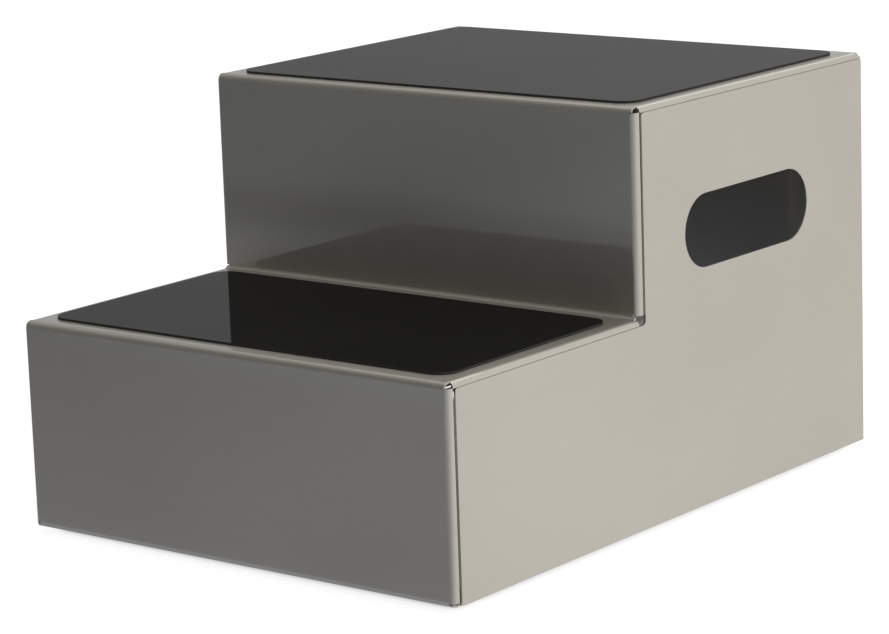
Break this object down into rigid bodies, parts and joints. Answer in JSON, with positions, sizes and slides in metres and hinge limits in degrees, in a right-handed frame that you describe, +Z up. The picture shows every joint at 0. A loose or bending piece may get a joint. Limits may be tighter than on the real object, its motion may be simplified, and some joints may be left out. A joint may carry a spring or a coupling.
{
  "type": "climbing steps",
  "caption": "Low climbing steps folded from satin sheet steel, open underneath, with a smooth dark mat on each tread and a round-ended hand slot through each side.",
  "frame": {"origin": "on the floor, under the middle of the steps", "axes": "+Z up; the front, which is climbed first, faces -Y and the back faces +Y; +X is the climber's right"},
  "size_m": [0.38, 0.5114, 0.3046],
  "materials": {
    "satin_steel": "fine satin, bends dressed smooth",
    "gloss_black_mat": "smooth gloss",
    "foot_rubber": "moulded matt",
    "zinc_fastener": "zinc plated",
    "plain_steel": "as rolled"
  },
  "bodies": {
    "root": {"step_shell": "satin_steel", "side_panel_left": "satin_steel", "side_panel_right": "satin_steel", "mat_lower": "gloss_black_mat", "mat_upper": "gloss_black_mat", "stiffener_lower": "plain_steel", "stiffener_upper": "plain_steel", "foot_front_left": "foot_rubber", "foot_front_right": "foot_rubber", "foot_rear_left": "foot_rubber", "foot_rear_right": "foot_rubber", "foot_washer_front_left": "zinc_fastener", "foot_washer_front_right": "zinc_fastener", "foot_washer_rear_left": "zinc_fastener", "foot_washer_rear_right": "zinc_fastener", "foot_screw_front_left": "zinc_fastener", "foot_screw_front_right": "zinc_fastener", "foot_screw_rear_left": "zinc_fastener", "foot_screw_rear_right": "zinc_fastener", "foot_nut_front_left": "zinc_fastener", "foot_nut_front_right": "zinc_fastener", "foot_nut_rear_left": "zinc_fastener", "foot_nut_rear_right": "zinc_fastener"}
  },
  "joints": []
}
